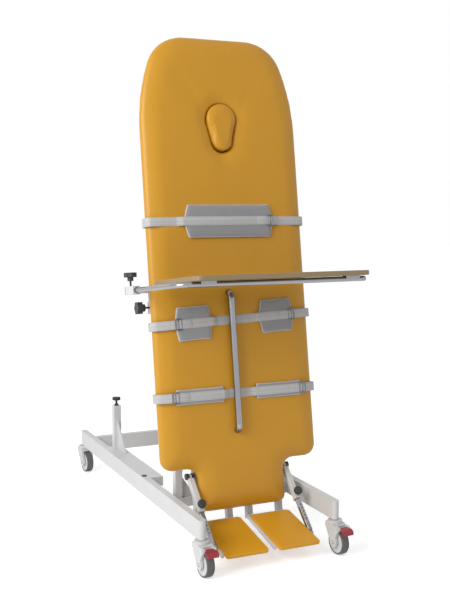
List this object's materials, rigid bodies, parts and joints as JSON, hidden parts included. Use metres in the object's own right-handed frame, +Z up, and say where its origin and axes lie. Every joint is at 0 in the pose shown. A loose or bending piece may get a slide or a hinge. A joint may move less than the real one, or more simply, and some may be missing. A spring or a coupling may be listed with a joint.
{
  "type": "physiotherapy tilt table",
  "caption": "Tilting therapy table on a wheeled frame: padded bed with face hole, belts, leg separator, side tray, hinged foot plates and a linear tilt actuator.",
  "frame": {"origin": "on the floor, midway between the four caster stems", "axes": "+Z up, +X to the patient's left as the bed faces the front, -Y to the front (foot end), +Y to the head end of the lowered bed"},
  "size_m": [0.7917, 1.6996, 2.0461],
  "materials": {
    "vinyl": "satin",
    "plate_vinyl": "satin",
    "frame_paint": "gloss",
    "chrome": "polished",
    "webbing": "matte",
    "pad": "matte",
    "black_plastic": "matte",
    "board": "satin",
    "deck": "matte",
    "tread": "matte",
    "hub": "satin",
    "red_plastic": "satin",
    "rubber": "matte",
    "steel": "satin",
    "motor": "satin"
  },
  "bodies": {
    "base": {"side_rail_left": "frame_paint", "side_rail_right": "frame_paint", "rear_crossbar": "frame_paint", "middle_crossbar": "frame_paint", "rest_frame_left": "frame_paint", "rest_frame_right": "frame_paint", "rest_buffers": "rubber", "pivot_post_left": "frame_paint", "pivot_post_right": "frame_paint", "rail_plugs": "black_plastic", "caster_stems": "steel"},
    "bed": {"bed_frame": "frame_paint", "deck_board": "deck", "mattress": "vinyl", "accessory_rails": "steel", "chest_strap": "webbing", "pelvic_strap": "webbing", "knee_strap": "webbing", "chest_pad": "pad", "pelvic_pad_left": "pad", "pelvic_pad_right": "pad", "knee_pad_left": "pad", "knee_pad_right": "pad", "strap_buckles": "chrome", "leg_separator": "chrome", "foot_carriers": "frame_paint", "strut_pivots": "black_plastic"},
    "actuator_body": {"actuator_body": "motor"},
    "actuator_rod": {"actuator_rod": "chrome"},
    "face_plug": {"face_plug": "vinyl"},
    "tray_bracket": {"tray_bracket": "frame_paint", "sleeve_cap": "black_plastic"},
    "tray": {"tray_arm": "chrome", "tray_board": "board"},
    "tray_lock_knob": {"tray_lock_knob": "black_plastic"},
    "tray_clamp_knob": {"tray_clamp_knob": "black_plastic"},
    "foot_plate_left": {"foot_plate_left": "plate_vinyl", "foot_bracket_left": "frame_paint"},
    "strut_tube_left": {"strut_tube_left": "frame_paint"},
    "strut_bar_left": {"strut_bar_left": "chrome"},
    "strut_knob_left": {"strut_knob_left": "black_plastic"},
    "foot_plate_right": {"foot_plate_right": "plate_vinyl", "foot_bracket_right": "frame_paint"},
    "strut_tube_right": {"strut_tube_right": "frame_paint"},
    "strut_bar_right": {"strut_bar_right": "chrome"},
    "strut_knob_right": {"strut_knob_right": "black_plastic"},
    "caster_fork_front_left": {"caster_fork_front_left": "frame_paint"},
    "caster_wheel_front_left": {"caster_tyre_front_left": "tread", "caster_hub_front_left": "hub"},
    "brake_pedal_left": {"brake_pedal_left": "red_plastic"},
    "caster_fork_front_right": {"caster_fork_front_right": "frame_paint"},
    "caster_wheel_front_right": {"caster_tyre_front_right": "tread", "caster_hub_front_right": "hub"},
    "brake_pedal_right": {"brake_pedal_right": "red_plastic"},
    "caster_fork_rear_left": {"caster_fork_rear_left": "frame_paint"},
    "caster_wheel_rear_left": {"caster_tyre_rear_left": "tread", "caster_hub_rear_left": "hub"},
    "caster_fork_rear_right": {"caster_fork_rear_right": "frame_paint"},
    "caster_wheel_rear_right": {"caster_tyre_rear_right": "tread", "caster_hub_rear_right": "hub"}
  },
  "joints": [
    {"name": "bed_tilt", "type": "hinge", "parent": "base", "child": "bed", "pos_m": [0, -0.37, 0.406], "axis": [1, 0, 0], "range_deg": [-81.15, 3.85]},
    {"name": "actuator_swing", "type": "hinge", "parent": "base", "child": "actuator_body", "pos_m": [0, -0.2823, 0.1191], "axis": [1, 0, 0], "range_deg": [-42, 3]},
    {"name": "rod_swing", "type": "hinge", "parent": "bed", "child": "actuator_rod", "pos_m": [0, -0.34986, 0.70533], "axis": [1, 0, 0], "range_deg": [-3, 42]},
    {"name": "plug_pull", "type": "slide", "parent": "bed", "child": "face_plug", "axis": [0, -0.9881, 0.1538], "range_m": [0, 0.12]},
    {"name": "tray_slide", "type": "slide", "parent": "bed", "child": "tray_bracket", "axis": [0, 0.1538, 0.9881], "range_m": [-0.015, 0.18]},
    {"name": "tray_swing", "type": "hinge", "parent": "tray_bracket", "child": "tray", "pos_m": [-0.408, -0.42489, 1.03493], "axis": [0, -0.9929, 0.1193], "range_deg": [0, 100]},
    {"name": "tray_lock", "type": "hinge", "parent": "tray_bracket", "child": "tray_lock_knob", "pos_m": [-0.408, -0.34637, 1.05974], "axis": [0, 0.1193, 0.9929], "range_deg": [0, 270]},
    {"name": "tray_clamp", "type": "hinge", "parent": "tray_bracket", "child": "tray_clamp_knob", "pos_m": [-0.352, -0.344, 0.95453], "axis": [-1, 0, 0], "range_deg": [0, 270]},
    {"name": "foot_plate_tilt_left", "type": "hinge", "parent": "bed", "child": "foot_plate_left", "pos_m": [0, -0.52292, 0.09988], "axis": [1, 0, 0], "range_deg": [-28, 3]},
    {"name": "strut_swing_left", "type": "hinge", "parent": "bed", "child": "strut_tube_left", "pos_m": [0, -0.47506, 0.28376], "axis": [1, 0, 0], "range_deg": [-15, 2.5]},
    {"name": "strut_foot_left", "type": "hinge", "parent": "foot_plate_left", "child": "strut_bar_left", "pos_m": [0, -0.70982, 0.06575], "axis": [1, 0, 0], "range_deg": [-2.5, 15]},
    {"name": "strut_clamp_left", "type": "hinge", "parent": "strut_tube_left", "child": "strut_knob_left", "pos_m": [-0.212, -0.59345, 0.2011], "axis": [0, -0.6805, 0.7328], "range_deg": [0, 270]},
    {"name": "foot_plate_tilt_right", "type": "hinge", "parent": "bed", "child": "foot_plate_right", "pos_m": [0, -0.52292, 0.09988], "axis": [1, 0, 0], "range_deg": [-28, 3]},
    {"name": "strut_swing_right", "type": "hinge", "parent": "bed", "child": "strut_tube_right", "pos_m": [0, -0.47506, 0.28376], "axis": [1, 0, 0], "range_deg": [-15, 2.5]},
    {"name": "strut_foot_right", "type": "hinge", "parent": "foot_plate_right", "child": "strut_bar_right", "pos_m": [0, -0.70982, 0.06575], "axis": [1, 0, 0], "range_deg": [-2.5, 15]},
    {"name": "strut_clamp_right", "type": "hinge", "parent": "strut_tube_right", "child": "strut_knob_right", "pos_m": [0.212, -0.59345, 0.2011], "axis": [0, -0.6805, 0.7328], "range_deg": [0, 270]},
    {"name": "caster_swivel_front_left", "type": "hinge", "parent": "base", "child": "caster_fork_front_left", "pos_m": [-0.285, -0.77, 0.134], "axis": [0, 0, 1], "continuous": true},
    {"name": "wheel_spin_front_left", "type": "hinge", "parent": "caster_fork_front_left", "child": "caster_wheel_front_left", "pos_m": [-0.28305, -0.79793, 0.05], "axis": [0.9976, 0.0698, 0], "continuous": true},
    {"name": "brake_press_left", "type": "hinge", "parent": "caster_fork_front_left", "child": "brake_pedal_left", "pos_m": [-0.28095, -0.82786, 0.108], "axis": [0.9976, 0.0698, 0], "range_deg": [0, 6]},
    {"name": "caster_swivel_front_right", "type": "hinge", "parent": "base", "child": "caster_fork_front_right", "pos_m": [0.285, -0.77, 0.134], "axis": [0, 0, 1], "continuous": true},
    {"name": "wheel_spin_front_right", "type": "hinge", "parent": "caster_fork_front_right", "child": "caster_wheel_front_right", "pos_m": [0.28695, -0.79793, 0.05], "axis": [0.9976, 0.0698, 0], "continuous": true},
    {"name": "brake_press_right", "type": "hinge", "parent": "caster_fork_front_right", "child": "brake_pedal_right", "pos_m": [0.28905, -0.82786, 0.108], "axis": [0.9976, 0.0698, 0], "range_deg": [0, 6]},
    {"name": "caster_swivel_rear_left", "type": "hinge", "parent": "base", "child": "caster_fork_rear_left", "pos_m": [-0.285, 0.77, 0.134], "axis": [0, 0, 1], "continuous": true},
    {"name": "wheel_spin_rear_left", "type": "hinge", "parent": "caster_fork_rear_left", "child": "caster_wheel_rear_left", "pos_m": [-0.28207, 0.74215, 0.05], "axis": [0.9945, 0.1045, 0], "continuous": true},
    {"name": "caster_swivel_rear_right", "type": "hinge", "parent": "base", "child": "caster_fork_rear_right", "pos_m": [0.285, 0.77, 0.134], "axis": [0, 0, 1], "continuous": true},
    {"name": "wheel_spin_rear_right", "type": "hinge", "parent": "caster_fork_rear_right", "child": "caster_wheel_rear_right", "pos_m": [0.28793, 0.74215, 0.05], "axis": [0.9945, 0.1045, 0], "continuous": true}
  ],
  "couplings": [
    {"joint": "actuator_swing", "follows": "bed_tilt", "ratio": 0.5},
    {"joint": "rod_swing", "follows": "bed_tilt", "ratio": -0.5},
    {"joint": "strut_swing_left", "follows": "foot_plate_tilt_left", "ratio": 0.5},
    {"joint": "strut_foot_left", "follows": "foot_plate_tilt_left", "ratio": -0.5},
    {"joint": "strut_swing_right", "follows": "foot_plate_tilt_right", "ratio": 0.5},
    {"joint": "strut_foot_right", "follows": "foot_plate_tilt_right", "ratio": -0.5}
  ]
}
